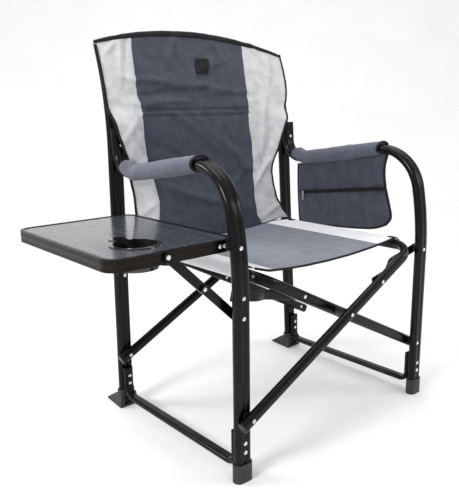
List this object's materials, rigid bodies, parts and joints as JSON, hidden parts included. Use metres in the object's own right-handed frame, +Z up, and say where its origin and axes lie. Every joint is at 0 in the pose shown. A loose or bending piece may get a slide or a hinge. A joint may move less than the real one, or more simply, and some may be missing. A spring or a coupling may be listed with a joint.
{
  "type": "folding camp chair",
  "caption": "Folding camp chair with cloth seat and back, padded arms, flap-down side table with a cup holder, and a zipped side pocket.",
  "frame": {"origin": "middle of the base of the chair's bounding box, on the ground", "axes": "+Z up, the sitter faces -Y, the side table is on -X"},
  "size_m": [0.894, 0.566, 0.9379],
  "materials": {
    "frame_paint": "semi-gloss black powder coat",
    "rivet_steel": "bright",
    "zip_metal": "bright",
    "zip_tape": "woven",
    "boot_rubber": "matte",
    "pad_fabric": "woven",
    "back_fabric": "woven",
    "seat_fabric": "woven",
    "pocket_fabric": "woven",
    "label_fabric": "woven",
    "table_laminate": "brushed wood grain",
    "rim_aluminium": "dark satin",
    "cup_plastic": "gloss",
    "black_plastic": "matte"
  },
  "bodies": {
    "table_side_frame": {"table_side_arm_pad": "pad_fabric", "table_side_back_boot": "boot_rubber", "table_side_back_leg": "frame_paint", "table_side_cross_frame_pins": "rivet_steel", "table_side_cross_frame_washers": "black_plastic", "table_side_floor_stretcher": "frame_paint", "table_side_frame_rivets": "rivet_steel", "table_side_front_boot": "boot_rubber", "table_side_front_leg_and_arm": "frame_paint", "table_side_hinge_bushes": "black_plastic", "table_side_hinge_pins": "rivet_steel", "table_side_link_pins": "rivet_steel", "table_side_link_washer": "black_plastic", "table_side_stay_bushes": "black_plastic", "table_side_stay_pins": "rivet_steel", "table_side_upright_cap": "black_plastic", "back_cloth": "back_fabric", "label_patch": "label_fabric"},
    "pocket_side_frame": {"pocket_side_arm_pad": "pad_fabric", "pocket_side_back_boot": "boot_rubber", "pocket_side_back_leg": "frame_paint", "pocket_side_cross_frame_pins": "rivet_steel", "pocket_side_cross_frame_washers": "black_plastic", "pocket_side_floor_stretcher": "frame_paint", "pocket_side_frame_rivets": "rivet_steel", "pocket_side_front_boot": "boot_rubber", "pocket_side_front_leg_and_arm": "frame_paint", "pocket_side_link_pins": "rivet_steel", "pocket_side_link_washer": "black_plastic", "pocket_side_upright_cap": "black_plastic", "pocket": "pocket_fabric", "pocket_zip": "zip_tape"},
    "pocket_side_rail": {"pocket_side_seat_frame": "frame_paint", "pocket_side_bar_studs": "rivet_steel", "pocket_side_seat_frame_plugs": "black_plastic", "crossing_pins": "rivet_steel", "crossing_spacers": "black_plastic", "seat_cloth": "seat_fabric"},
    "table_side_rail": {"table_side_seat_frame": "frame_paint", "table_side_bar_studs": "rivet_steel", "table_side_seat_frame_plugs": "black_plastic"},
    "pocket_side_links": {"pocket_side_front_link": "frame_paint", "pocket_side_back_link": "frame_paint", "pocket_side_link_studs": "rivet_steel"},
    "table_side_links": {"table_side_front_link": "frame_paint", "table_side_back_link": "frame_paint", "table_side_link_studs": "rivet_steel"},
    "side_table": {"table_board": "table_laminate", "table_rim": "rim_aluminium", "cup_holder": "cup_plastic", "table_rivets": "rivet_steel", "table_hinge_plates": "frame_paint"},
    "upper_stays": {"front_upper_stay": "frame_paint", "back_upper_stay": "frame_paint", "upper_stay_studs": "rivet_steel"},
    "lower_stays": {"front_lower_stay": "frame_paint", "back_lower_stay": "frame_paint", "lower_stay_studs": "rivet_steel"},
    "zip_slider": {"zip_slider": "zip_metal"}
  },
  "joints": [
    {"name": "fold", "type": "hinge", "parent": "table_side_frame", "child": "pocket_side_rail", "pos_m": [-0.18, -0.03349, 0.141], "axis": [0, -1, 0], "range_deg": [0, 45.3], "deforming": ["seat_cloth", "back_cloth", "label_patch"]},
    {"name": "scissor", "type": "hinge", "parent": "pocket_side_rail", "child": "table_side_rail", "pos_m": [0.118, -0.03349, 0.29237], "axis": [0, -1, 0], "range_deg": [-90.6, 0]},
    {"name": "pocket_side_foot", "type": "hinge", "parent": "table_side_rail", "child": "pocket_side_frame", "pos_m": [0.416, -0.03349, 0.141], "axis": [0, -1, 0], "range_deg": [0, 45.3]},
    {"name": "pocket_side_link_swing", "type": "hinge", "parent": "pocket_side_frame", "child": "pocket_side_links", "pos_m": [0.421, -0.03349, 0.3896], "axis": [0, -1, 0], "range_deg": [-81.53, 0]},
    {"name": "table_side_link_swing", "type": "hinge", "parent": "table_side_frame", "child": "table_side_links", "pos_m": [-0.185, -0.03349, 0.3896], "axis": [0, -1, 0], "range_deg": [0, 81.53]},
    {"name": "table_tilt", "type": "hinge", "parent": "table_side_frame", "child": "side_table", "pos_m": [-0.185, -0.03349, 0.487], "axis": [0, -1, 0], "range_deg": [0, 90]},
    {"name": "lower_stay_swing", "type": "hinge", "parent": "table_side_frame", "child": "lower_stays", "pos_m": [-0.185, -0.03349, 0.349], "axis": [0, -1, 0], "range_deg": [-45.82, 0]},
    {"name": "upper_stay_swing", "type": "hinge", "parent": "side_table", "child": "upper_stays", "pos_m": [-0.332, -0.03349, 0.489], "axis": [0, -1, 0], "range_deg": [0, 43.05]},
    {"name": "zip_travel", "type": "slide", "parent": "pocket_side_frame", "child": "zip_slider", "axis": [0.039, -0.9922, 0.1181], "range_m": [0, 0.268]}
  ],
  "couplings": [
    {"joint": "scissor", "follows": "fold", "ratio": -2},
    {"joint": "pocket_side_foot", "follows": "fold", "ratio": 1},
    {"joint": "pocket_side_link_swing", "follows": "fold", "ratio": -1.7997},
    {"joint": "table_side_link_swing", "follows": "fold", "ratio": 1.7997},
    {"joint": "lower_stay_swing", "follows": "table_tilt", "ratio": -0.50911},
    {"joint": "upper_stay_swing", "follows": "table_tilt", "ratio": 0.47834}
  ]
}
